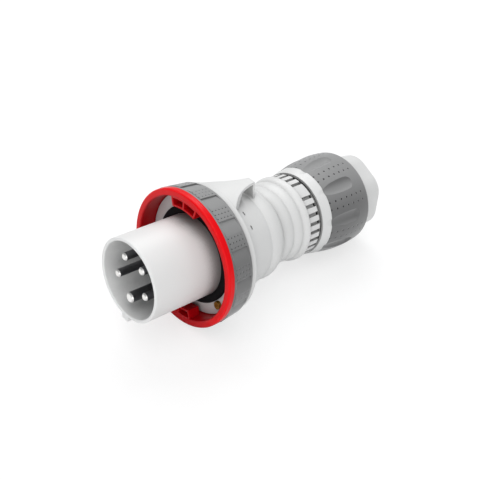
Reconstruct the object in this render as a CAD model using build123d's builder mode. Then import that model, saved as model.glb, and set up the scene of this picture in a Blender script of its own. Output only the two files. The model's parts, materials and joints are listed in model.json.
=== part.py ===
from build123d import *
from math import asin, atan2, cos, degrees, hypot, radians, sin, sqrt, tan
import os

# Industrial pin and sleeve plug, five contacts, bayonet locking ring, screwed cable gland.
# The plug lies as it comes to rest: on the pads of its locking ring and the crown of its
# gland nut, with its mouth raised and pointing to minus X. Millimetres, Z up, floor at zero.
# A station is a distance along the plug from the plane of its mouth. A clock angle is
# counted from twelve o'clock on the plug, positive towards plus Y.

# Fits
running_gap = 0.08
screw_gap = 0.05
insert_gap = 0.15
seat_gap = 0.3

# Contact sleeve and the carrier of the contacts
sleeve_radius = 31.5
sleeve_wall = 2.6
sleeve_depth = 48.0
floor_thickness = 12.0
mouth_round = 1.1
key_width = 7.5
key_height = 3.6
key_round = 1.0
key_start = 0.4
key_clear = 3.0

# Contacts on their pitch circle, the earth pin at six o'clock in line with the key
contact_circle_radius = 16.4
contact_count = 5
phase_pin_radius = 3.0
earth_pin_radius = 4.0
pin_recess = 2.7
pin_chamfer = 0.9
pin_shoulder = 0.5
terminal_radius = 5.6
terminal_length = 26.0
terminal_shoulder = 2.0
wire_hole_radius = 3.3
wire_hole_depth = 16.0
terminal_screw_radius = 2.5
terminal_screw_length = 7.0
terminal_screw_setback = 7.0
screw_slot_width = 0.9
screw_slot_depth = 1.2
block_wall = 7.0
block_overrun = 4.0
insulator_thickness = 3.0
insulator_rim = 2.0
insulator_head_radius = 5.0
insulator_head_height = 2.5

# Flange, its screws and its seals
flange_thickness = 5.0
flange_catch = 2.1
spigot_length = 7.0
carrier_ring_radius = 1.4
gasket_wall = 6.0
gasket_thickness = 2.7
flange_screw_count = 3
flange_screw_turn = -129.0
flange_screw_radius = 1.9
flange_screw_length = 11.0
flange_head_radius = 3.3
flange_head_height = 2.2
flange_head_draft = 8.0

# Locking ring with its bayonet lugs and its soft grip
hub_inner_wall = 0.7
hub_outer_wall = 1.6
hub_length = 5.2
lip_gap = 0.35
ring_length = 23.5
ring_clear = 0.7
ring_core_wall = 2.9
grip_thickness = 3.0
rim_length = 5.0
rim_drop = 0.4
rim_round = 1.3
grip_cells = 15
recess_angle = 12.0
recess_depth = 1.2
recess_bulge = 0.45
recess_turn = -6.0
strip_width = 1.6
strip_drop = 0.5
lug_count = 2
lug_turn = 5.0
lug_angle = 33.0
lug_height = 7.0
lug_setback = 0.4
lug_length = 9.9
lug_ramp_angle = 7.0
lug_web = 1.4
lug_pocket_depth = 5.5
nub_turn = -30.0
nub_radius = 1.4
nub_length = 4.2

# Housing, with its collar, its tapered body, its moulded rings and its slotted collar
housing_wall = 3.0
collar_lip = 5.1
collar_length = 4.8
collar_step = 4.0
taper_root_drop = 0.8
taper_front_drop = 4.8
taper_front = 20.0
taper_length = 33.8
taper_front_slope = -0.5
taper_rear_slope = -0.2
wave_lengths = (16.8, 12.0, 8.6, 5.8)
wave_heights = (3.0, 0.8, 0.75, 0.7)
crease_rises = (7.3, 1.9, 1.5, 2.9, 5.3)
slotted_rise = 4.2
slotted_length = 11.3
slot_steps = 30
slot_turn = -8.5
slot_skip = 10
slot_width = 2.8
slot_depth = 2.8
slot_setback = 0.8
index_mark_turns = (-26.0, -42.0)
index_mark_setback = 15.4
index_mark_length = 1.3
index_mark_width = 3.0
index_mark_depth = 4.8

# Eyelet on top of the housing
eyelet_reach = 37.4
eyelet_drop = 1.0
eyelet_strap = 1.8
eyelet_post = 1.9
eyelet_base = 30.0
eyelet_over = 6.0
eyelet_lean = 5.2
eyelet_end_half = 7.3
eyelet_middle_half = 11.8
eyelet_front_half = 23.0
eye_length = 20.4
eye_chamfer = 6.0

# Cable gland
thread_radius = 29.3
thread_length = 23.5
thread_wall = 4.3
gland_ring_radius = 1.3
gland_ring_sink = 0.3
nut_gap = 3.0
nut_rim_length = 8.5
nut_rim_rise = 0.5
nut_rim_step = 0.8
nut_rim_clear = 2.7
nut_rim_bore_depth = 6.0
nut_thread_depth = 26.5
nut_wall = 3.9
nut_crown_distance = 35.5
nut_cover_wall = 6.1
nut_barrel_radius = 98.0
nut_cover_length = 51.7
nut_cover_round = 3.0
nut_lobes = 9
nut_turn = -15.0
flute_radius = 9.0
flute_front_rise = 0.6
flute_rear_rise = 4.0
flute_end = 41.2
neck_flat_drop = 3.2
neck_length = 22.0
neck_draft = 1.5
neck_corner_round = 18.0
neck_end_round = 2.0
neck_turn = -25.0
cable_clear = 1.5
bell_mouth_round = 5.0
bore_overlap = 1.0
washer_clear = 0.8
washer_bore_clear = 1.0
washer_thickness = 2.1
washer_setback = 38.7
cage_flange_thickness = 2.0
cage_depth = 13.0
cage_flange_drop = 0.25
cage_wall = 6.2
cage_clear = 1.8
cage_fingers = 10
cage_slot_width = 2.2
cage_bevel = 3.0
seal_wall = 4.35
seal_length = 24.0
seal_groove = 1.0
seal_grooves = 3

# Stations worked out from the sizes
flange_station = sleeve_depth + floor_thickness
seat_station = flange_station + flange_thickness
collar_station = seat_station + hub_length
ring_rear = collar_station - lip_gap
ring_front = ring_rear - ring_length
lip_station = seat_station + lip_gap
band_station = ring_front + rim_length
gasket_station = flange_station - gasket_thickness
spigot_end = seat_station + spigot_length
terminal_front = flange_station + terminal_shoulder
terminal_end = terminal_front + terminal_length
block_end = terminal_end + block_overrun
terminal_screw_station = terminal_end - terminal_screw_setback
taper_end = collar_station + taper_length
shoulder_station = taper_end + sum(wave_lengths)
slotted_end = shoulder_station + slotted_length
thread_end = slotted_end + thread_length
nut_front = slotted_end + nut_gap
nut_rim_end = nut_front + nut_rim_length
nut_crown = nut_front + nut_crown_distance
nut_cover_end = nut_front + nut_cover_length
neck_end = nut_cover_end + neck_length
washer_seat = nut_front + washer_setback
washer_front = washer_seat - seat_gap / 2 - washer_thickness
nut_travel = nut_gap - seat_gap
finger_end = washer_front - nut_travel - seat_gap

# Radii worked out from the sizes: each one that the sleeve or the gland thread drives follows
# it, so the gasket, the screws, the ring and the nut keep their places
block_radius = contact_circle_radius + terminal_radius + block_wall
gasket_radius = sleeve_radius + insert_gap + gasket_wall
flange_circle_radius = gasket_radius + seat_gap + flange_head_radius
housing_bore = flange_circle_radius - flange_screw_radius - screw_gap - hub_inner_wall
spigot_radius = housing_bore - insert_gap
hub_radius = flange_circle_radius + flange_screw_radius + screw_gap + hub_outer_wall
collar_radius = hub_radius + collar_lip
taper_root = hub_radius - taper_root_drop
taper_front_radius = hub_radius - taper_front_drop
eyelet_height = collar_radius - eyelet_drop
lip_bore = hub_radius + running_gap
flange_radius = hub_radius + flange_catch
ring_inner = flange_radius + ring_clear
ring_core = ring_inner + ring_core_wall
pad_radius = ring_core + grip_thickness
lug_radius = ring_inner - lug_height
crease_radii = [thread_radius + crease_rise for crease_rise in crease_rises]
chamber_radius = crease_radii[1] - housing_wall
slotted_radius = thread_radius + slotted_rise
gland_bore = thread_radius - thread_wall
gland_ring_seat = thread_radius - gland_ring_sink
nut_rim_bore = thread_radius + nut_rim_clear
nut_core_radius = thread_radius + nut_wall
nut_rim_front = nut_core_radius + nut_rim_step
nut_crown_radius = nut_core_radius + nut_cover_wall
neck_flat_radius = nut_core_radius - neck_flat_drop
cage_finger_radius = gland_bore - cage_clear
cage_bore = cage_finger_radius - cage_wall
washer_radius = gland_bore - washer_clear
washer_bore = cage_bore + washer_bore_clear
seal_bore = cage_bore - insert_gap - seal_wall
cable_bore = seal_bore + cable_clear

# Tilt at rest: the floor touches the two pad edges beside the lowest recess of the locking
# ring and the barrel of the gland nut. Both heights are zero, which gives the angle.
rest_radius = pad_radius * cos(radians(recess_angle / 2))
run = nut_crown - band_station
rise = rest_radius + nut_barrel_radius - nut_crown_radius
tilt = atan2(rise, run) - asin(nut_barrel_radius / hypot(run, rise))
pad_slope = tan(tilt) / cos(radians(recess_angle / 2))
mouth_height = band_station * sin(tilt) + rest_radius * cos(tilt)

# The origin lies under the middle of the plug's length
neck_corner_radius = (neck_flat_radius - neck_corner_round) / cos(radians(30)) + neck_corner_round
neck_top_radius = neck_corner_radius - neck_length * tan(radians(neck_draft))
front_reach = mouth_round * (cos(tilt) - 1) - (sleeve_radius - mouth_round) * sin(tilt)
rear_reach = (neck_end - neck_end_round) * cos(tilt) + neck_end_round
rear_reach += (neck_top_radius - neck_end_round) * sin(tilt)
rearwards = Vector(cos(tilt), 0, -sin(tilt))
upwards = Vector(sin(tilt), 0, cos(tilt))
mouth = Vector(-(front_reach + rear_reach) / 2, 0, mouth_height)

plug_axis = Axis(mouth, rearwards)
section = Plane(origin=mouth, x_dir=(0, 1, 0), z_dir=rearwards)
half_section = Plane(origin=mouth, x_dir=rearwards, z_dir=(0, -1, 0))

pin_turns = {
    "pin_l1": 108.0,
    "pin_l2": 36.0,
    "pin_l3": -36.0,
    "pin_neutral": -108.0,
    "pin_earth": 180.0,
}
pin_radii = dict.fromkeys(pin_turns, phase_pin_radius)
pin_radii["pin_earth"] = earth_pin_radius


def across(station):
    """Plane square to the plug axis, with X to plus Y and Y to twelve o'clock."""
    return section.offset(station)


def outward(clock):
    """Direction away from the plug axis at a clock angle."""
    return Vector(0, 1, 0) * sin(radians(clock)) + upwards * cos(radians(clock))


def facing_out(station, clock, radius):
    """Plane square to a radius of the plug, with X rearwards."""
    return Plane(
        origin=mouth + rearwards * station + outward(clock) * radius,
        x_dir=rearwards,
        z_dir=outward(clock),
    )


def polar(clock):
    """Sketch angle of a clock angle."""
    return 90 - clock


def at_clock(radius, clock):
    """Sketch point at a radius and a clock angle."""
    return (radius * sin(radians(clock)), radius * cos(radians(clock)))


def ring_sector(inner, outer, start, end):
    """Flat face between two radii and two clock angles, to add to a sketch."""
    middle = (start + end) / 2
    with BuildSketch() as sector:
        with BuildLine():
            ThreePointArc(at_clock(outer, start), at_clock(outer, middle), at_clock(outer, end))
            Line(at_clock(outer, end), at_clock(inner, end))
            ThreePointArc(at_clock(inner, end), at_clock(inner, middle), at_clock(inner, start))
            Line(at_clock(inner, start), at_clock(outer, start))
        make_face()
    return sector.sketch


def finish(name, solid):
    """Label a finished piece and write it to its file."""
    solid.label = name
    export_step(solid, f"parts/{name}.step")


os.makedirs("parts", exist_ok=True)

# Contact sleeve: the white tube round the pins, with its key, standing on the carrier's flange
with BuildPart() as contact_sleeve:
    with BuildSketch(half_section):
        with Locations((0, sleeve_radius - sleeve_wall)):
            mouth_face = Rectangle(flange_station, sleeve_wall, align=(Align.MIN, Align.MIN))
        fillet(mouth_face.vertices().group_by(Axis.X)[0], radius=mouth_round)
    revolve(axis=plug_axis)
    with BuildSketch(across(key_start)):
        with Locations((0, -sleeve_radius)):
            RectangleRounded(key_width, 2 * key_height, key_round)
        Circle(sleeve_radius - sleeve_wall / 2, mode=Mode.SUBTRACT)
    extrude(amount=gasket_station - key_clear - key_start)
finish("contact_sleeve", contact_sleeve.part)

# Sleeve floor: the disc that closes the sleeve, with a hole for the shoulder of each pin
with BuildPart() as sleeve_floor:
    with BuildSketch(across(sleeve_depth)):
        Circle(sleeve_radius - sleeve_wall - insert_gap)
        for name, turn in pin_turns.items():
            with Locations(at_clock(contact_circle_radius, turn)):
                Circle(pin_radii[name] + pin_shoulder + screw_gap, mode=Mode.SUBTRACT)
    extrude(amount=floor_thickness)
finish("sleeve_floor", sleeve_floor.part)

# Contact carrier: the flange and the spigot behind it, with a pocket for each terminal
with BuildPart() as contact_carrier:
    with BuildSketch(half_section):
        with BuildLine():
            Polyline(
                (flange_station, 0),
                (flange_station, flange_radius),
                (seat_station, flange_radius),
                (seat_station, spigot_radius),
                (spigot_end, spigot_radius),
                (spigot_end, 0),
                close=True,
            )
        make_face()
    revolve(axis=plug_axis)
    with BuildSketch(half_section):
        with Locations(((seat_station + spigot_end) / 2, spigot_radius)):
            Rectangle(2 * carrier_ring_radius + 2 * insert_gap, 4 * carrier_ring_radius)
    revolve(axis=plug_axis, mode=Mode.SUBTRACT)
    with BuildSketch(across(terminal_front)):
        with PolarLocations(contact_circle_radius, contact_count, start_angle=polar(180)):
            Circle(terminal_radius + insert_gap)
    extrude(amount=spigot_end - terminal_front, mode=Mode.SUBTRACT)
    with BuildSketch(across(flange_station)):
        for name, turn in pin_turns.items():
            with Locations(at_clock(contact_circle_radius, turn)):
                Circle(pin_radii[name] + pin_shoulder + screw_gap)
    extrude(amount=terminal_shoulder, mode=Mode.SUBTRACT)
    with BuildSketch(across(flange_station)):
        with PolarLocations(flange_circle_radius, flange_screw_count, start_angle=polar(flange_screw_turn)):
            Circle(flange_screw_radius + screw_gap)
    extrude(amount=flange_thickness, mode=Mode.SUBTRACT)
finish("contact_carrier", contact_carrier.part)

# Terminal block: a round block on the back of the carrier, with a bore for each terminal, a
# side hole for each clamping screw and a hole for the screw of the rear insulator
with BuildPart() as terminal_block:
    with BuildSketch(across(spigot_end)):
        Circle(block_radius)
        with PolarLocations(contact_circle_radius, contact_count, start_angle=polar(180)):
            Circle(terminal_radius + insert_gap, mode=Mode.SUBTRACT)
    extrude(amount=block_end - spigot_end)
    for turn in pin_turns.values():
        with BuildSketch(facing_out(terminal_screw_station, turn, contact_circle_radius)):
            Circle(terminal_screw_radius + insert_gap)
        extrude(amount=block_radius, mode=Mode.SUBTRACT)
    with BuildSketch(across(block_end)):
        Circle(terminal_screw_radius)
    extrude(amount=-terminal_screw_length, mode=Mode.SUBTRACT)
finish("terminal_block", terminal_block.part)

# Contact pins: turned brass, each with a shoulder in the floor of the sleeve, its terminal
# and a hole for the clamping screw
for name, turn in pin_turns.items():
    shank = pin_radii[name]
    foot = mouth + outward(turn) * contact_circle_radius
    with BuildPart() as pin:
        with BuildSketch(Plane(origin=foot, x_dir=rearwards, z_dir=(0, -1, 0))):
            with BuildLine():
                Polyline(
                    (pin_recess, 0),
                    (pin_recess, shank - pin_chamfer),
                    (pin_recess + pin_chamfer, shank),
                    (sleeve_depth, shank),
                    (sleeve_depth, shank + pin_shoulder),
                    (terminal_front, shank + pin_shoulder),
                    (terminal_front, terminal_radius),
                    (terminal_end, terminal_radius),
                    (terminal_end, wire_hole_radius),
                    (terminal_end - wire_hole_depth, wire_hole_radius),
                    (terminal_end - wire_hole_depth - wire_hole_radius / 2, 0),
                    close=True,
                )
            make_face()
        revolve(axis=Axis(foot, rearwards))
        with BuildSketch(facing_out(terminal_screw_station, turn, contact_circle_radius)):
            Circle(terminal_screw_radius)
        extrude(amount=terminal_radius + seat_gap, mode=Mode.SUBTRACT)
    finish(name, pin.part)

# Terminal screws: one slotted grub screw to each contact, reached from the side of the block
with BuildPart() as terminal_screws:
    for turn in pin_turns.values():
        screw_foot = contact_circle_radius + wire_hole_radius + running_gap
        with BuildSketch(facing_out(terminal_screw_station, turn, screw_foot)):
            Circle(terminal_screw_radius - screw_gap)
        extrude(amount=terminal_screw_length)
        slot_floor = screw_foot + terminal_screw_length - screw_slot_depth
        with BuildSketch(facing_out(terminal_screw_station, turn, slot_floor)):
            Rectangle(2 * terminal_screw_radius, screw_slot_width)
        extrude(amount=screw_slot_depth, mode=Mode.SUBTRACT)
finish("terminal_screws", terminal_screws.part)

# Rear insulator: a plate with wire holes, screwed to the back of the terminal block
with BuildPart() as rear_insulator:
    with BuildSketch(across(block_end)):
        Circle(block_radius - insulator_rim)
        with PolarLocations(contact_circle_radius, contact_count, start_angle=polar(180)):
            Circle(wire_hole_radius + insert_gap, mode=Mode.SUBTRACT)
        Circle(terminal_screw_radius, mode=Mode.SUBTRACT)
    extrude(amount=insulator_thickness)
finish("rear_insulator", rear_insulator.part)

# Insulator screw: pan head with a straight slot
with BuildPart() as insulator_screw:
    with BuildSketch(across(block_end + insulator_thickness)):
        Circle(insulator_head_radius)
    extrude(amount=insulator_head_height)
    with BuildSketch(across(block_end + insulator_thickness)):
        Circle(terminal_screw_radius - screw_gap)
    extrude(amount=-(terminal_screw_length - screw_gap))
    with BuildSketch(across(block_end + insulator_thickness + insulator_head_height)):
        Rectangle(2 * insulator_head_radius, screw_slot_width)
    extrude(amount=-screw_slot_depth, mode=Mode.SUBTRACT)
finish("insulator_screw", insulator_screw.part)

# Carrier ring: rubber ring in the groove of the spigot, against the bore of the housing
with BuildPart() as carrier_o_ring:
    with BuildSketch(half_section):
        with Locations(((seat_station + spigot_end) / 2, housing_bore - carrier_ring_radius)):
            Circle(carrier_ring_radius)
    revolve(axis=plug_axis)
finish("carrier_o_ring", carrier_o_ring.part)

# Face gasket: flat rubber ring round the foot of the sleeve, pressed by the socket's rim
with BuildPart() as face_gasket:
    with BuildSketch(half_section):
        with Locations((gasket_station, gasket_radius)):
            gasket_face = Rectangle(gasket_thickness, gasket_wall, align=(Align.MIN, Align.MAX))
        fillet(gasket_face.vertices().group_by(Axis.X)[0], radius=gasket_thickness / 3)
    revolve(axis=plug_axis)
finish("face_gasket", face_gasket.part)

# Flange screws: three pan heads with a cross recess, through the flange into the housing hub
with BuildPart() as flange_screws:
    with BuildSketch(across(flange_station)):
        with PolarLocations(flange_circle_radius, flange_screw_count, start_angle=polar(flange_screw_turn)):
            Circle(flange_head_radius)
    extrude(amount=-flange_head_height, taper=flange_head_draft)
    with BuildSketch(across(flange_station)):
        with PolarLocations(flange_circle_radius, flange_screw_count, start_angle=polar(flange_screw_turn)):
            Circle(flange_screw_radius)
    extrude(amount=flange_screw_length)
    with BuildSketch(across(flange_station - flange_head_height)):
        with PolarLocations(flange_circle_radius, flange_screw_count, start_angle=polar(flange_screw_turn)):
            Rectangle(flange_head_radius, screw_slot_width)
            Rectangle(screw_slot_width, flange_head_radius)
    extrude(amount=screw_slot_depth, mode=Mode.SUBTRACT)
finish("flange_screws", flange_screws.part)

# Bayonet lug: an arc inside the locking ring, with two pockets and a sloped rear face that
# draws the socket's own lugs in as the ring turns
lug_station = ring_front + lug_setback
lug_half = lug_angle / 2
lug_middle_radius = (lug_radius + ring_inner) / 2
lug_half_width = lug_middle_radius * radians(lug_half)
web_angle = degrees(lug_web / lug_middle_radius)
pocket_inner = lug_radius + lug_web
pocket_outer = ring_inner - lug_web / 2
with BuildPart() as bayonet_lug:
    with BuildSketch(across(lug_station)):
        add(ring_sector(lug_radius, ring_inner + ring_core_wall / 2, -lug_half, lug_half))
    extrude(amount=lug_length)
    lug_back = mouth + rearwards * (lug_station + lug_length) - Vector(0, 1, 0) * lug_half_width
    slope_direction = rearwards.rotate(Axis((0, 0, 0), upwards), -lug_ramp_angle)
    split(bisect_by=Plane(origin=lug_back, z_dir=slope_direction), keep=Keep.BOTTOM)
    with BuildSketch(across(lug_station)):
        add(ring_sector(pocket_inner, pocket_outer, -lug_half + web_angle, -web_angle / 2))
    extrude(amount=lug_pocket_depth, mode=Mode.SUBTRACT)
    with BuildSketch(across(lug_station)):
        add(ring_sector(pocket_inner, pocket_outer, web_angle / 2, lug_half - web_angle))
    extrude(amount=lug_pocket_depth, mode=Mode.SUBTRACT)

# Locking ring: turned on the housing's hub and kept there by the carrier flange
with BuildPart() as locking_ring:
    with BuildSketch(half_section):
        with BuildLine():
            Polyline(
                (ring_front, ring_inner),
                (ring_front, pad_radius - rim_drop),
                (band_station, pad_radius - rim_drop),
                (band_station, ring_core),
                (ring_rear, ring_core),
                (ring_rear, lip_bore),
                (lip_station, lip_bore),
                (lip_station, ring_inner),
                close=True,
            )
        ring_face = make_face()
        fillet(ring_face.vertices().group_by(Axis.X)[0], radius=rim_round)
    revolve(axis=plug_axis)
    for number in range(lug_count):
        add(bayonet_lug.part.rotate(plug_axis, -lug_turn - number * 360 / lug_count))
    with BuildSketch(across(ring_front + rim_round)):
        with PolarLocations(ring_inner, lug_count, start_angle=polar(nub_turn)):
            Circle(nub_radius)
    extrude(amount=nub_length)
finish("locking_ring", locking_ring.part)

# Recess: one finger groove of the grip, deepest at its wall and running out along the turn
recess_front = band_station + strip_width
recess_rear = ring_rear - strip_width
with BuildPart() as grip_recess:
    for station in (recess_front, recess_rear):
        surface = pad_radius - (station - band_station) * pad_slope
        with BuildSketch(across(station)):
            with BuildLine():
                Polyline(
                    at_clock(surface, -recess_angle),
                    at_clock(surface + recess_depth, -recess_angle),
                    at_clock(surface + recess_depth, 0),
                    at_clock(surface - recess_depth, 0),
                )
                ThreePointArc(
                    at_clock(surface - recess_depth, 0),
                    at_clock(surface - recess_depth * recess_bulge, -recess_angle / 2),
                    at_clock(surface, -recess_angle),
                )
            make_face()
    loft(ruled=True)

# Ring grip: soft band moulded on the locking ring, with fifteen finger grooves. Its pads
# slope by the tilt at rest, so they lie flat on the floor.
with BuildPart() as ring_grip:
    with BuildSketch(half_section):
        with BuildLine():
            Polyline(
                (band_station, ring_core + running_gap),
                (band_station, pad_radius - strip_drop),
                (recess_front, pad_radius - strip_drop),
                (recess_front, pad_radius - strip_width * pad_slope),
                (recess_rear, pad_radius - (recess_rear - band_station) * pad_slope),
                (recess_rear, pad_radius - (recess_rear - band_station) * pad_slope - strip_drop),
                (ring_rear, pad_radius - (ring_rear - band_station) * pad_slope - strip_drop),
                (ring_rear, ring_core + running_gap),
                close=True,
            )
        make_face()
    revolve(axis=plug_axis)
    for number in range(grip_cells):
        turn = recess_turn - number * 360 / grip_cells
        add(grip_recess.part.rotate(plug_axis, -turn), mode=Mode.SUBTRACT)
finish("ring_grip", ring_grip.part)

# Eyelet: a strap from the collar over the taper to a thin post, with an eye between them.
# It narrows to the post and upwards, and its root ends inside the housing's wall.
eyelet_end = collar_station + eyelet_reach
eye_rear = eyelet_end - eyelet_post
eye_front = eye_rear - eye_length
eye_top = eyelet_height - eyelet_strap
eyelet_root = crease_radii[0] - housing_wall / 2
eyelet_top = eyelet_height + eyelet_over
flare_station = collar_station + collar_length
flare_middle = (flare_station + eyelet_end) / 2
with BuildPart() as eyelet:
    with BuildSketch(half_section):
        with BuildLine():
            Polyline(
                (collar_station, hub_radius),
                (collar_station, collar_radius),
                (eyelet_end, eyelet_height),
                (eyelet_end, eyelet_root),
                (collar_station + taper_front, taper_front_radius - housing_wall / 2),
                close=True,
            )
        make_face()
    revolve(axis=plug_axis)
    for height, lean in ((eyelet_base, 0), (eyelet_top, eyelet_lean)):
        front_half = eyelet_front_half - lean
        middle_half = eyelet_middle_half - lean
        end_half = eyelet_end_half - lean
        with BuildSketch(Plane(origin=mouth + upwards * height, x_dir=rearwards, z_dir=upwards)):
            with BuildLine():
                Line((seat_station, -front_half), (seat_station, front_half))
                Line((seat_station, front_half), (flare_station, front_half))
                ThreePointArc(
                    (flare_station, front_half), (flare_middle, middle_half), (eyelet_end, end_half)
                )
                Line((eyelet_end, end_half), (eyelet_end, -end_half))
                ThreePointArc(
                    (eyelet_end, -end_half), (flare_middle, -middle_half), (flare_station, -front_half)
                )
                Line((flare_station, -front_half), (seat_station, -front_half))
            make_face()
    loft(ruled=True, mode=Mode.INTERSECT)
    with BuildSketch(half_section):
        with BuildLine():
            Polyline(
                (eye_front, eyelet_base),
                (eye_front, eye_top - eye_chamfer),
                (eye_front + eye_chamfer, eye_top),
                (eye_rear, eye_top),
                (eye_rear, eyelet_base),
                close=True,
            )
        make_face()
    extrude(amount=eyelet_front_half, both=True, mode=Mode.SUBTRACT)

# Housing: hub and collar, tapered body with eyelet, four soft rings, slotted collar and the
# thread for the gland nut, all one hollow moulding
wave_stations = [taper_end + sum(wave_lengths[:number]) for number in range(len(wave_lengths) + 1)]
with BuildPart() as housing:
    with BuildSketch(half_section):
        with BuildLine():
            Polyline(
                (seat_station, housing_bore),
                (seat_station, hub_radius),
                (collar_station, hub_radius),
                (collar_station, collar_radius),
                (collar_station + collar_length, collar_radius),
                (collar_station + collar_length + collar_step, taper_root),
            )
            Spline(
                (collar_station + collar_length + collar_step, taper_root),
                (collar_station + taper_front, taper_front_radius),
                (taper_end, crease_radii[0]),
                tangents=((1, taper_front_slope), (1, taper_rear_slope)),
            )
            for number in range(len(wave_lengths)):
                start = (wave_stations[number], crease_radii[number])
                end = (wave_stations[number + 1], crease_radii[number + 1])
                crest = (start[1] + end[1]) / 2 + wave_heights[number]
                ThreePointArc(start, ((start[0] + end[0]) / 2, crest), end)
            Polyline(
                (shoulder_station, crease_radii[-1]),
                (shoulder_station, slotted_radius),
                (slotted_end, slotted_radius),
                (slotted_end, thread_radius),
                (thread_end, thread_radius),
                (thread_end, gland_bore),
                (shoulder_station, gland_bore),
                (shoulder_station - housing_wall, chamber_radius),
                (wave_stations[1], chamber_radius),
                (taper_end, crease_radii[0] - housing_wall),
                (spigot_end + spigot_length, housing_bore),
                (seat_station, housing_bore),
            )
        make_face()
    revolve(axis=plug_axis)
    add(eyelet.part)
    with BuildSketch(half_section):
        with Locations((slotted_end, gland_ring_seat - gland_ring_radius)):
            Rectangle(
                2 * gland_ring_radius + insert_gap, 2 * gland_ring_radius,
                align=(Align.MIN, Align.MIN),
            )
    revolve(axis=plug_axis, mode=Mode.SUBTRACT)
    kept_slots = [step for step in range(slot_steps) if step % slot_skip != 1]
    with BuildSketch(across(shoulder_station + slot_setback)):
        for step in kept_slots:
            slot_clock = slot_turn - step * 360 / slot_steps
            with Locations(Location(at_clock(slotted_radius, slot_clock), -slot_clock)):
                Rectangle(slot_width, 2 * slot_depth)
    extrude(amount=slotted_length, mode=Mode.SUBTRACT)
    with BuildSketch(across(seat_station)):
        with PolarLocations(flange_circle_radius, flange_screw_count, start_angle=polar(flange_screw_turn)):
            Circle(flange_screw_radius + screw_gap)
    extrude(amount=flange_screw_length, mode=Mode.SUBTRACT)
    for turn in index_mark_turns:
        mark_floor = taper_root - index_mark_depth
        with BuildSketch(facing_out(collar_station + index_mark_setback, turn, mark_floor)):
            Rectangle(index_mark_length, index_mark_width)
        extrude(amount=index_mark_depth, mode=Mode.SUBTRACT)
finish("housing", housing.part)

# Gland ring: rubber ring at the root of the thread, which the nut closes on
with BuildPart() as gland_o_ring:
    with BuildSketch(half_section):
        with Locations((slotted_end + gland_ring_radius + insert_gap / 2, gland_ring_seat)):
            Circle(gland_ring_radius)
    revolve(axis=plug_axis)
finish("gland_o_ring", gland_o_ring.part)

# Clamping cage: a flanged bush in the end of the thread, with sprung fingers round the cable
with BuildPart() as clamping_cage:
    with BuildSketch(half_section):
        with BuildLine():
            Polyline(
                (thread_end - cage_depth, cage_bore),
                (thread_end - cage_depth, gland_bore - running_gap),
                (thread_end, gland_bore - running_gap),
                (thread_end, thread_radius - cage_flange_drop),
                (thread_end + cage_flange_thickness, thread_radius - cage_flange_drop),
                (thread_end + cage_flange_thickness, cage_finger_radius),
                (finger_end - cage_bevel, cage_finger_radius),
                (finger_end, cage_finger_radius - cage_bevel),
                (finger_end, cage_bore),
                close=True,
            )
        make_face()
    revolve(axis=plug_axis)
    with BuildSketch(across(thread_end + cage_flange_thickness)):
        with PolarLocations(cage_finger_radius, cage_fingers, start_angle=polar(0)):
            Rectangle(cage_finger_radius, cage_slot_width)
    extrude(amount=finger_end - thread_end, mode=Mode.SUBTRACT)
finish("clamping_cage", clamping_cage.part)

# Cable seal: grooved rubber bush inside the cage
seal_start = finger_end - seal_length
with BuildPart() as cable_seal:
    with BuildSketch(half_section):
        with Locations((seal_start, seal_bore)):
            Rectangle(seal_length, cage_bore - insert_gap - seal_bore, align=(Align.MIN, Align.MIN))
        for number in range(seal_grooves):
            groove_station = seal_start + seal_length * (number + 1) / (seal_grooves + 1)
            with Locations((groove_station, seal_bore)):
                Circle(seal_groove, mode=Mode.SUBTRACT)
    revolve(axis=plug_axis)
finish("cable_seal", cable_seal.part)

# Thrust washer: rides in the nut and keeps its turning off the fingers
with BuildPart() as thrust_washer:
    with BuildSketch(across(washer_front)):
        Circle(washer_radius)
        Circle(washer_bore, mode=Mode.SUBTRACT)
    extrude(amount=washer_thickness)
finish("thrust_washer", thrust_washer.part)


def barrel_radius(station):
    """Radius of the gland nut's barrel at a station."""
    drop = nut_barrel_radius - sqrt(nut_barrel_radius**2 - (station - nut_crown) ** 2)
    return nut_crown_radius - drop


# Flute: a round ended cutter for one finger groove of the gland nut
flute_front_axis = nut_core_radius + flute_front_rise + flute_radius
flute_rear_axis = nut_core_radius + flute_rear_rise + flute_radius
flute_start = (nut_front - flute_radius, flute_front_axis)
flute_stop = (nut_front + flute_end - flute_radius, flute_rear_axis)
with BuildPart() as flute:
    flute_foot = half_section.from_local_coords(flute_start)
    flute_head = half_section.from_local_coords(flute_stop)
    with BuildSketch(Plane(origin=flute_foot, z_dir=flute_head - flute_foot)):
        Circle(flute_radius)
    extrude(amount=(flute_head - flute_foot).length)
    with Locations(flute_head):
        Sphere(flute_radius)

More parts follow.
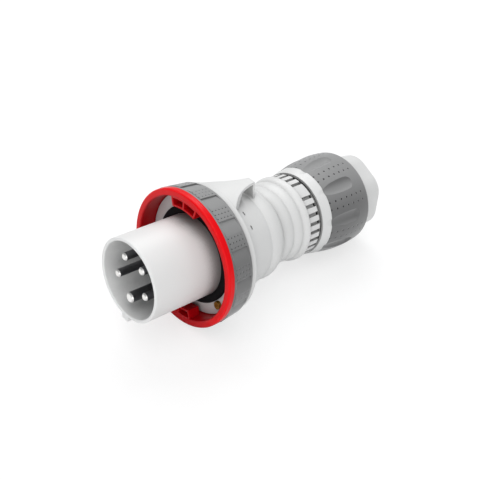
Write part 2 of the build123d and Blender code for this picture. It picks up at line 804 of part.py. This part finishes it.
# Gland nut: scalloped front rim, threaded core, seat for the washer, six sided neck with a
# bell mouth for the cable
with BuildPart() as gland_nut:
    with BuildSketch(half_section):
        with BuildLine():
            Polyline(
                (nut_front, nut_rim_bore),
                (nut_front, nut_rim_front),
                (nut_rim_end, barrel_radius(nut_rim_end) + nut_rim_rise),
                (nut_rim_end, nut_core_radius),
                (nut_cover_end, nut_core_radius),
                (nut_cover_end, cable_bore),
                (nut_cover_end - (washer_radius - cable_bore), washer_bore),
                (washer_seat, washer_bore),
                (washer_seat, washer_radius + running_gap),
                (nut_front + nut_thread_depth, washer_radius + running_gap),
                (nut_front + nut_thread_depth, thread_radius + running_gap),
                (nut_front + nut_rim_bore_depth, thread_radius + running_gap),
                (nut_front + nut_rim_bore_depth, nut_rim_bore),
                close=True,
            )
        make_face()
    revolve(axis=plug_axis)
    for number in range(nut_lobes):
        turn = nut_turn + (number + 0.5) * 360 / nut_lobes
        add(flute.part.rotate(plug_axis, -turn), mode=Mode.SUBTRACT)
    with BuildSketch(across(nut_cover_end)):
        neck_outline = RegularPolygon(
            neck_flat_radius, 6, major_radius=False, rotation=polar(neck_turn) - 30
        )
        fillet(neck_outline.vertices(), radius=neck_corner_round)
    extrude(amount=neck_length, taper=neck_draft)
    neck_rim = faces().filter_by(GeomType.PLANE).sort_by(plug_axis)[-1]
    fillet(neck_rim.edges(), radius=neck_end_round)
    with BuildSketch(half_section):
        with BuildLine():
            Polyline(
                (neck_end, 0),
                (nut_cover_end - bore_overlap, 0),
                (nut_cover_end - bore_overlap, cable_bore),
                (neck_end - bell_mouth_round, cable_bore),
            )
            RadiusArc(
                (neck_end - bell_mouth_round, cable_bore),
                (neck_end, cable_bore + bell_mouth_round),
                bell_mouth_round,
            )
            Line((neck_end, cable_bore + bell_mouth_round), (neck_end, 0))
        make_face()
    revolve(axis=plug_axis, mode=Mode.SUBTRACT)
finish("gland_nut", gland_nut.part)

# Nut grip: soft barrel shaped cover moulded on the nut, with a flute between each two lands
with BuildPart() as nut_grip:
    with BuildSketch(half_section):
        with BuildLine():
            Line((nut_rim_end, nut_core_radius + running_gap), (nut_rim_end, barrel_radius(nut_rim_end)))
            ThreePointArc(
                (nut_rim_end, barrel_radius(nut_rim_end)),
                (nut_crown, nut_crown_radius),
                (nut_cover_end, barrel_radius(nut_cover_end)),
            )
            Polyline(
                (nut_cover_end, barrel_radius(nut_cover_end)),
                (nut_cover_end, nut_core_radius + running_gap),
                (nut_rim_end, nut_core_radius + running_gap),
            )
        cover_face = make_face()
        fillet(cover_face.vertices().group_by(Axis.X)[-1].sort_by(Axis.Y)[-1], radius=nut_cover_round)
    revolve(axis=plug_axis)
    for number in range(nut_lobes):
        turn = nut_turn + (number + 0.5) * 360 / nut_lobes
        add(flute.part.rotate(plug_axis, -turn), mode=Mode.SUBTRACT)
finish("nut_grip", nut_grip.part)
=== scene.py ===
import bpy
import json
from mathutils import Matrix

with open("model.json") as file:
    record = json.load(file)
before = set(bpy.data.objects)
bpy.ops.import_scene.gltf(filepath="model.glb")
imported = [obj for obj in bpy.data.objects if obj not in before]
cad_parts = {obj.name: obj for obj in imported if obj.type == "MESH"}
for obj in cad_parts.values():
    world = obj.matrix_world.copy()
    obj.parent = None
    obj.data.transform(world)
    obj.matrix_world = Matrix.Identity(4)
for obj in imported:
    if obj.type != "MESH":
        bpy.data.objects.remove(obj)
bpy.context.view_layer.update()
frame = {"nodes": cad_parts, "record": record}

import json
import math

import bpy
from mathutils import Matrix, Vector

# The plug's own directions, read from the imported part. The cable clamp lies on the plug's axis
# and points at the cable end, and the mouth is where the contact sleeve begins. Everything
# below is placed by its distance from the mouth and its clock angle, like the part itself.
clamp = next(m for m in frame["record"]["mounts"] if m["name"] == "cable_clamp")
rearwards = Vector(clamp["axis"]).normalized()
sideways = Vector((0, 1, 0))
upwards = rearwards.cross(sideways)
clamp_middle = Vector(clamp["pos_m"])
sleeve_points = [v.co for v in frame["nodes"]["contact_sleeve"].data.vertices]
mouth = clamp_middle + rearwards * min((p - clamp_middle).dot(rearwards) for p in sleeve_points)


def off_mouth(back, side, up):
    """Point at a distance in millimetres from the mouth, along the plug's own directions."""
    return mouth + (rearwards * back + sideways * side + upwards * up) / 1000


def linear(colour):
    """Linear colour of an sRGB hex value such as "f0f0f0"."""
    parts = [int(colour[i:i + 2], 16) / 255 for i in (0, 2, 4)]
    return [c / 12.92 if c <= 0.04045 else ((c + 0.055) / 1.055) ** 2.4 for c in parts] + [1]


def node(tree, kind, inputs=None, **settings):
    """Adds a shader node with its settings, and sets or links its sockets."""
    made = tree.nodes.new("ShaderNode" + kind)
    for name, value in settings.items():
        setattr(made, name, value)
    for socket, value in (inputs or {}).items():
        if isinstance(value, bpy.types.NodeSocket):
            tree.links.new(value, made.inputs[socket])
        else:
            made.inputs[socket].default_value = value
    return made


# Camera: a catalogue view from the front left and above, at about half a metre, with a short
# telephoto lens. The plug's mouth points at the lower left corner of the picture. The rows of
# look are the camera's own directions along, across and up the plug.
camera_data = bpy.data.cameras.new("catalogue_camera")
camera_data.sensor_width = 36
camera_data.lens = 63.75
camera_data.clip_start = 0.01
camera = bpy.data.objects.new("catalogue_camera", camera_data)
bpy.context.scene.collection.objects.link(camera)
plug_frame = Matrix((rearwards, sideways, upwards)).transposed()
look = Matrix(((0.73354491, -0.66552369, 0.13780454),
               (0.30444314, 0.50304421, 0.80886396),
               (-0.6076399, -0.55138439, 0.57161964))).transposed()
camera.matrix_world = (plug_frame @ look).to_4x4()
camera.location = off_mouth(-289.788, -359.357, 367.395)
bpy.context.scene.camera = camera
bpy.context.scene.view_settings.view_transform = "Standard"

# Studio: a white sheet of paper that keeps a faint shadow, a wide softbox above and behind the
# plug and two weaker ones, above its mouth and low on the camera's left, in an even grey room.
# Only the camera sees the room white and the paper glow, most of all where the two meet.
floor_half = 6.0
glow_near, glow_far = 0.67, 0.9
floor_mesh = bpy.data.meshes.new("paper_floor")
floor_corners = [(-floor_half, -floor_half, 0), (floor_half, -floor_half, 0),
                 (floor_half, floor_half, 0), (-floor_half, floor_half, 0)]
floor_mesh.from_pydata(floor_corners, [], [(0, 1, 2, 3)])
floor = bpy.data.objects.new("paper_floor", floor_mesh)
bpy.context.scene.collection.objects.link(floor)

paper = bpy.data.materials.new("matt_white_paper")
paper.use_nodes = True
paper.node_tree.nodes.clear()
tree = paper.node_tree
path = node(tree, "LightPath")
paper_light = node(tree, "BsdfDiffuse", {"Color": linear("efefef")})
paper_shadow = node(tree, "BsdfDiffuse", {"Color": linear("a4a4a4")})
away = node(tree, "VectorMath", {0: node(tree, "TexCoord").outputs["Object"]}, operation="LENGTH")
glow = node(tree, "MapRange", {"Value": away.outputs["Value"], "From Min": 0.3, "From Max": 1.5,
                               "To Min": glow_near, "To Max": glow_far})
paper_glow = node(tree, "Emission", {"Color": (1, 1, 1, 1), "Strength": glow.outputs[0]})
paper_seen = node(tree, "AddShader", {0: paper_shadow.outputs[0], 1: paper_glow.outputs[0]})
paper_mix = node(tree, "MixShader", {0: path.outputs["Is Camera Ray"],
                                     1: paper_light.outputs[0], 2: paper_seen.outputs[0]})
node(tree, "OutputMaterial", {"Surface": paper_mix.outputs[0]})
floor_mesh.materials.append(paper)

room = bpy.data.worlds.new("grey_room")
bpy.context.scene.world = room
room.use_nodes = True
room.node_tree.nodes.clear()
tree = room.node_tree
path = node(tree, "LightPath")
room_grey = node(tree, "Background", {"Color": linear("f4f6f8"), "Strength": 0.42})
room_white = node(tree, "Background", {"Color": (1, 1, 1, 1), "Strength": 1.0})
room_mix = node(tree, "MixShader", {0: path.outputs["Is Camera Ray"],
                                    1: room_grey.outputs[0], 2: room_white.outputs[0]})
node(tree, "OutputWorld", {"Surface": room_mix.outputs[0]})

plug_middle = off_mouth(110, 0, 0)
for name, place, width, power in (
    ("softbox_behind", (0.45, 0.7, 1.1), 1.1, 10.3),
    ("softbox_above", (-0.45, -0.35, 1.15), 0.9, 5.5),
    ("softbox_left", (-1.0, -0.9, 0.3), 0.9, 5.2),
):
    lamp_data = bpy.data.lights.new(name, "AREA")
    lamp_data.shape = "SQUARE"
    lamp_data.size = width
    lamp_data.energy = power
    lamp = bpy.data.objects.new(name, lamp_data)
    bpy.context.scene.collection.objects.link(lamp)
    lamp.location = plug_middle + Vector(place)
    lamp.rotation_euler = (plug_middle - lamp.location).to_track_quat("-Z", "Y").to_euler()


# Contact sleeve and carrier: polyamide, injection moulded, off white. The mould's spark finish
# makes it satin, never glossy, and thick walls that cool unevenly let its tone drift a little.
# The root of the sleeve, inside the ring, is painted greyer: painted shadow of the ring.
def new_surface(name, **sockets):
    """Material with a Principled shader; constant values go straight to its sockets."""
    made = bpy.data.materials.new(name)
    made.use_nodes = True
    made.node_tree.nodes.clear()
    shader = node(made.node_tree, "BsdfPrincipled",
                  {socket.replace("_", " "): value for socket, value in sockets.items()})
    node(made.node_tree, "OutputMaterial", {"Surface": shader.outputs[0]})
    return made, made.node_tree, shader


def dress(material, *names):
    """Puts a material on the slots of CAD nodes."""
    for name in names:
        mesh = frame["nodes"][name].data
        mesh.materials.clear()
        mesh.materials.append(material)


def grain(tree, shader, light, dark, patch_mm, grain_mm, depth_mm, edge_mm, height=None,
          corner_shade=None, reach_mm=6, open_from=0.99, shut_from=0.7):
    """Tone that drifts between two colours, a grain bump, and edges that catch the light.

    A height in millimetres, such as moulded dots, is laid over the grain. The third colour is
    painted shade, in grooves and hollows: it fades in from one share of open sky to the other,
    counting only walls in reach. Returns the tone and the grain."""
    most_painted_shade = 0.85
    place = node(tree, "TexCoord").outputs["Object"]
    patches = node(tree, "TexNoise", {"Vector": place, "Scale": 1000 / patch_mm, "Detail": 2.0})
    tone = node(tree, "Mix", {0: patches.outputs[0], 6: linear(light), 7: linear(dark)},
                data_type="RGBA")
    # Painted shade: ambient occlusion within reach pulls the tone towards the third colour.
    if corner_shade:
        open_to = node(tree, "AmbientOcclusion", {"Distance": reach_mm / 1000}, samples=8)
        shade_share = node(tree, "MapRange", {"Value": open_to.outputs["AO"], "From Min": open_from,
                                       "From Max": shut_from, "To Max": most_painted_shade})
        tone = node(tree, "Mix", {0: shade_share.outputs[0], 6: tone.outputs[2], 7: linear(corner_shade)},
                    data_type="RGBA")
    grit = node(tree, "TexNoise", {"Vector": place, "Scale": 1000 / grain_mm, "Detail": 3.0})
    relief = node(tree, "Math", {0: grit.outputs[0], 1: depth_mm}, operation="MULTIPLY").outputs[0]
    if height is not None:
        relief = node(tree, "Math", {0: relief, 1: height}, operation="ADD").outputs[0]
    edge = node(tree, "Bevel", {"Radius": edge_mm / 1000}, samples=6)
    bump = node(tree, "Bump", {"Strength": 1.0, "Distance": 0.001, "Height": relief,
                               "Normal": edge.outputs[0]})
    tree.links.new(bump.outputs[0], shader.inputs["Normal"])
    tree.links.new(tone.outputs[2], shader.inputs["Base Color"])
    return tone.outputs[2], grit.outputs[0]


polyamide, tree, shader = new_surface("moulded_polyamide_off_white", Roughness=0.42, IOR=1.53)
# Painted shade: dark grey where walls are within 18 mm, chiefly the ring's shadow on the sleeve.
grain(tree, shader, "eeeeed", "e7e7e6", patch_mm=45, grain_mm=0.5, depth_mm=0.006, edge_mm=0.5,
      corner_shade="6c6c6b", reach_mm=18, open_from=0.86, shut_from=0.45)
dress(polyamide, "contact_sleeve")
carrier_polyamide, tree, shader = new_surface("moulded_polyamide_off_white_carrier",
                                              Roughness=0.42, IOR=1.53)
# Painted shade: a light grey in the carrier's hollows.
grain(tree, shader, "eeeeed", "e7e7e6", patch_mm=45, grain_mm=0.5, depth_mm=0.006, edge_mm=0.5,
      corner_shade="c0c0bf", reach_mm=12)
dress(carrier_polyamide, "sleeve_floor", "contact_carrier", "terminal_block")

# Contact pins: turned brass with a nickel plate. The faced ends are painted near white and the
# sides dark grey, a painted reflection; the ends are also a touch smoother. Fine rings from
# the lathe run round them, drawn about twice as coarse as real so that they show.
turning_mm = 0.35
nickel, tree, shader = new_surface("turned_brass_nickel_plated", Metallic=1.0)
place = node(tree, "TexCoord").outputs["Object"]
facing = node(tree, "TexCoord").outputs["Normal"]
end_on = node(tree, "VectorMath", {0: facing, 1: rearwards}, operation="DOT_PRODUCT")
flat = node(tree, "Math", {0: end_on.outputs["Value"]}, operation="ABSOLUTE")
end_face = node(tree, "MapRange", {"Value": flat.outputs[0], "From Min": 0.5, "From Max": 0.8})
# Painted reflection: near white on the end faces, dark grey on the sides.
painted_end_reflection = node(tree, "Mix", {0: end_face.outputs[0], 6: linear("77777a"), 7: linear("fbfaf7")},
             data_type="RGBA")
polish = node(tree, "MapRange", {"Value": end_face.outputs[0], "To Min": 0.34, "To Max": 0.28})
depth = node(tree, "VectorMath", {0: place, 1: rearwards}, operation="DOT_PRODUCT")
turns = node(tree, "Math", {0: depth.outputs["Value"], 1: 2 * math.pi * 1000 / turning_mm},
             operation="MULTIPLY")
rings = node(tree, "Math", {0: turns.outputs[0]}, operation="SINE")
edge = node(tree, "Bevel", {"Radius": 0.0003}, samples=6)
lathe = node(tree, "Bump", {"Strength": 0.25, "Distance": 0.00002, "Height": rings.outputs[0],
                            "Normal": edge.outputs[0]})
tree.links.new(painted_end_reflection.outputs[2], shader.inputs["Base Color"])
tree.links.new(polish.outputs[0], shader.inputs["Roughness"])
tree.links.new(lathe.outputs[0], shader.inputs["Normal"])
dress(nickel, "pin_l1", "pin_l2", "pin_l3", "pin_neutral", "pin_earth")

# Terminal screws and the screw of the rear insulator: cold formed steel with a clear zinc
# plate, which is a soft bluish grey with small dull blots.
zinc, tree, shader = new_surface("steel_clear_zinc_plate", Metallic=1.0, Roughness=0.38)
grain(tree, shader, "b9bcc0", "9fa2a6", patch_mm=2.5, grain_mm=0.4, depth_mm=0.008, edge_mm=0.2)
dress(zinc, "terminal_screws", "insulator_screw")

# Rear insulator: glass filled polyamide in dark grey, a moulded plate. The glass comes up to
# the skin and makes it dull and faintly mottled.
filled_polyamide, tree, shader = new_surface("glass_filled_polyamide_dark_grey", Roughness=0.6,
                                             IOR=1.53)
grain(tree, shader, "47484a", "3d3e40", patch_mm=3, grain_mm=0.6, depth_mm=0.012, edge_mm=0.4)
dress(filled_polyamide, "rear_insulator")

# Seals: moulded nitrile rubber rings between carrier and housing and at the gland, and the
# grooved bush that closes on the cable. Rubber is matt, and handling leaves it a little grey.
nitrile, tree, shader = new_surface("moulded_nitrile_rubber_black", Roughness=0.62, IOR=1.52,
                                    Specular_IOR_Level=0.35)
grain(tree, shader, "242425", "1d1d1e", patch_mm=12, grain_mm=0.5, depth_mm=0.01, edge_mm=0.3)
dress(nitrile, "carrier_o_ring", "gland_o_ring", "cable_seal")

# Face gasket: a flat ring cut from neoprene sheet, pressed by the rim of the socket. Its face
# is finely cloth marked from the press and almost without shine.
neoprene, tree, shader = new_surface("pressed_neoprene_black", Roughness=0.8, IOR=1.52,
                                     Specular_IOR_Level=0.1)
grain(tree, shader, "161617", "101011", patch_mm=9, grain_mm=0.7, depth_mm=0.02, edge_mm=0.5)
dress(neoprene, "face_gasket")

# Flange screws: steel pan heads with a yellow passivated zinc plate. The film is thin enough
# to shimmer, so its gold shifts towards brown in blots.
passivate, tree, shader = new_surface("steel_yellow_zinc_plate", Metallic=1.0, Roughness=0.3)
grain(tree, shader, "b5893c", "74491a", patch_mm=1.6, grain_mm=0.4, depth_mm=0.008, edge_mm=0.25)
dress(passivate, "flange_screws")

# Locking ring: PBT, injection moulded in signal red, with a smooth satin skin whose rounded
# rim catches the light. Its bore and pockets are painted a deeper red: painted shade.
pbt, tree, shader = new_surface("moulded_pbt_signal_red", Roughness=0.3, IOR=1.55,
                                Specular_IOR_Level=0.15)
grain(tree, shader, "f00410", "e8030e", patch_mm=30, grain_mm=0.6, depth_mm=0.006, edge_mm=0.8,
      corner_shade="a4040e", reach_mm=30)
dress(pbt, "locking_ring")


# Ring grip: a soft thermoplastic elastomer, overmoulded on the ring in mid grey, with a dry
# satin skin whose upper side is painted paler: painted light from above. Each raised pad has
# three short rows of small pits, moulded in and painted near black: painted shade in the pits.
def on_plug(tree):
    """Distance from the mouth and from the axis in millimetres, and clock angle in degrees."""
    place = node(tree, "TexCoord").outputs["Object"]
    away = node(tree, "VectorMath", {0: place, 1: mouth}, operation="SUBTRACT")
    scaled = node(tree, "VectorMath", {0: away.outputs[0], "Scale": 1000}, operation="SCALE")
    back, side, up = (
        node(tree, "VectorMath", {0: scaled.outputs[0], 1: direction},
             operation="DOT_PRODUCT").outputs["Value"]
        for direction in (rearwards, sideways, upwards)
    )
    turn = node(tree, "Math", {0: side, 1: up}, operation="ARCTAN2")
    clock = node(tree, "Math", {0: turn.outputs[0]}, operation="DEGREES")
    squares = [node(tree, "Math", {0: v, 1: v}, operation="MULTIPLY").outputs[0]
               for v in (side, up)]
    square = node(tree, "Math", {0: squares[0], 1: squares[1]}, operation="ADD")
    radius = node(tree, "Math", {0: square.outputs[0]}, operation="SQRT")
    return back, clock.outputs[0], radius.outputs[0]


def pits(tree, first, last, count, centre, pitch, rows, row_step, size):
    """One inside moulded pits, nought outside: rows of them along the plug, in equal lands.

    first and last are stations in millimetres; centre, pitch and row_step are clock angles."""
    soft_rim = 0.15
    station, clock, radius = on_plug(tree)
    spacing = (last - first) / (count - 1)
    shifted = node(tree, "Math", {0: station, 1: first}, operation="SUBTRACT")
    along = node(tree, "Math", {0: shifted.outputs[0], 1: spacing / 2, 2: -spacing / 2},
                 operation="WRAP")
    turned = node(tree, "Math", {0: clock, 1: centre}, operation="SUBTRACT")
    in_land = node(tree, "Math", {0: turned.outputs[0], 1: pitch / 2, 2: -pitch / 2},
                   operation="WRAP")
    half = rows * row_step / 2
    in_row = node(tree, "Math", {0: in_land.outputs[0], 1: half}, operation="ADD")
    to_row = node(tree, "Math", {0: in_row.outputs[0], 1: row_step, 2: 0.0}, operation="WRAP")
    off_row = node(tree, "Math", {0: to_row.outputs[0], 1: row_step / 2}, operation="SUBTRACT")
    arc = node(tree, "Math", {0: off_row.outputs[0]}, operation="RADIANS")
    across = node(tree, "Math", {0: arc.outputs[0], 1: radius}, operation="MULTIPLY")
    squares = [node(tree, "Math", {0: v, 1: v}, operation="MULTIPLY").outputs[0]
               for v in (along.outputs[0], across.outputs[0])]
    square = node(tree, "Math", {0: squares[0], 1: squares[1]}, operation="ADD")
    away = node(tree, "Math", {0: square.outputs[0]}, operation="SQRT")
    pit = node(tree, "MapRange", {"Value": away.outputs[0], "From Min": size / 2 + soft_rim,
                                  "From Max": size / 2 - soft_rim}, interpolation_type="SMOOTHSTEP")
    middle = (first + last) / 2
    off_middle = node(tree, "Math", {0: station, 1: middle}, operation="SUBTRACT")
    far = node(tree, "Math", {0: off_middle.outputs[0]}, operation="ABSOLUTE")
    in_length = node(tree, "Math", {0: far.outputs[0], 1: (last - first + spacing) / 2},
                     operation="LESS_THAN")
    wide = node(tree, "Math", {0: in_land.outputs[0]}, operation="ABSOLUTE")
    in_rows = node(tree, "Math", {0: wide.outputs[0], 1: half}, operation="LESS_THAN")
    inside = node(tree, "Math", {0: in_length.outputs[0], 1: in_rows.outputs[0]},
                  operation="MULTIPLY")
    return node(tree, "Math", {0: pit.outputs[0], 1: inside.outputs[0]},
                operation="MULTIPLY").outputs[0]


def soft_grip(tree, shader, pit):
    """Grey elastomer, its pits sunk in and painted dark (painted shade), its top painted pale
    (painted light).
    """
    pit_depth_mm = 0.25
    sunk = node(tree, "Math", {0: pit, 1: -pit_depth_mm}, operation="MULTIPLY")
    tone, grit = grain(tree, shader, "6f6f6f", "696969", patch_mm=25, grain_mm=0.55,
                       depth_mm=0.02, edge_mm=0.6, height=sunk.outputs[0])
    # Painted light: the more the surface faces up, the paler its grey.
    facing_up = node(tree, "VectorMath", {0: node(tree, "TexCoord").outputs["Normal"], 1: upwards},
                     operation="DOT_PRODUCT")
    painted_top_light = node(tree, "MapRange", {"Value": facing_up.outputs["Value"], "From Min": 0.4,
                                   "From Max": 0.95, "To Max": 0.9},
                interpolation_type="SMOOTHSTEP")
    top_lit_tone = node(tree, "Mix", {0: painted_top_light.outputs[0], 6: tone, 7: linear("909090")}, data_type="RGBA")
    # Painted shade: the pits are painted near black.
    dark = node(tree, "Mix", {0: pit, 6: top_lit_tone.outputs[2], 7: linear("1c1c1d")}, data_type="RGBA")
    tree.links.new(dark.outputs[2], shader.inputs["Base Color"])
    dry = node(tree, "MapRange", {"Value": grit, "To Min": 0.5, "To Max": 0.62})
    tree.links.new(dry.outputs[0], shader.inputs["Roughness"])


ring_elastomer, tree, shader = new_surface("overmoulded_elastomer_grey_ring", IOR=1.5,
                                           Sheen_Weight=0.8, Sheen_Roughness=0.4)
soft_grip(tree, shader, pits(tree, first=53.6, last=66.0, count=5, centre=-24, pitch=24, rows=3,
                             row_step=3.8, size=1.0))
dress(ring_elastomer, "ring_grip")

# Housing: the same moulded polyamide as the sleeve. Its thread for the gland nut is cut into
# the tool, with a pitch of 3 mm, and shows when the nut is screwed back.
thread_pitch = 3.0
thread_depth = 0.9
thread_start = 160.5
housing_polyamide, tree, shader = new_surface("moulded_polyamide_off_white_housing",
                                              Roughness=0.42, IOR=1.53)
station, clock, _ = on_plug(tree)
lead = node(tree, "Math", {0: clock, 1: thread_pitch / 360}, operation="MULTIPLY")
advance = node(tree, "Math", {0: station, 1: lead.outputs[0]}, operation="ADD")
wave = node(tree, "Math", {0: advance.outputs[0], 1: thread_pitch / 2}, operation="PINGPONG")
past = node(tree, "Math", {0: station, 1: thread_start}, operation="GREATER_THAN")
flank = node(tree, "Math", {0: wave.outputs[0], 1: thread_depth / (thread_pitch / 2)},
             operation="MULTIPLY")
thread = node(tree, "Math", {0: flank.outputs[0], 1: past.outputs[0]}, operation="MULTIPLY")
# Painted shade: a mid grey in the slots, the creases and the hollows.
grain(tree, shader, "e6e6e5", "e0e0df", patch_mm=60, grain_mm=0.5, depth_mm=0.006, edge_mm=0.5,
      height=thread.outputs[0], corner_shade="a4a4a3", reach_mm=9)
dress(housing_polyamide, "housing")

# Clamping cage and thrust washer: the cage is grey moulded polyamide, tough enough to spring,
# and the washer is turned acetal, milky and slippery, so it shines more than the rest.
cage_polyamide, tree, shader = new_surface("moulded_polyamide_grey", Roughness=0.5, IOR=1.53)
grain(tree, shader, "8d8f91", "838587", patch_mm=15, grain_mm=0.5, depth_mm=0.008, edge_mm=0.3)
dress(cage_polyamide, "clamping_cage")
acetal, tree, shader = new_surface("turned_acetal_milky", Roughness=0.25, IOR=1.48)
grain(tree, shader, "e6e5df", "dfded7", patch_mm=10, grain_mm=0.8, depth_mm=0.004, edge_mm=0.3)
dress(acetal, "thrust_washer")

# Gland nut: moulded polyamide again, off white, with a scalloped rim in front and a six sided
# neck behind for a spanner. The neck is drawn from the tool, so it is a shade smoother.
nut_polyamide, tree, shader = new_surface("moulded_polyamide_off_white_nut", Roughness=0.4,
                                          IOR=1.53)
# Painted shade: a grey in its grooves and hollows.
grain(tree, shader, "e6e6e5", "e0e0df", patch_mm=40, grain_mm=0.5, depth_mm=0.005, edge_mm=0.7,
      corner_shade="9c9c9b")
dress(nut_polyamide, "gland_nut")

# Nut grip: the elastomer of the ring grip, moulded round the barrel of the nut. Two long rows
# of pits run over each land between the finger flutes, drawn half as wide again as real, so
# that they show from afar.
nut_elastomer, tree, shader = new_surface("overmoulded_elastomer_grey_nut", IOR=1.5,
                                          Sheen_Weight=0.8, Sheen_Roughness=0.4)
soft_grip(tree, shader, pits(tree, first=171.0, last=204.0, count=7, centre=-15, pitch=40, rows=2,
                             row_step=9.2, size=1.5))
dress(nut_elastomer, "nut_grip")
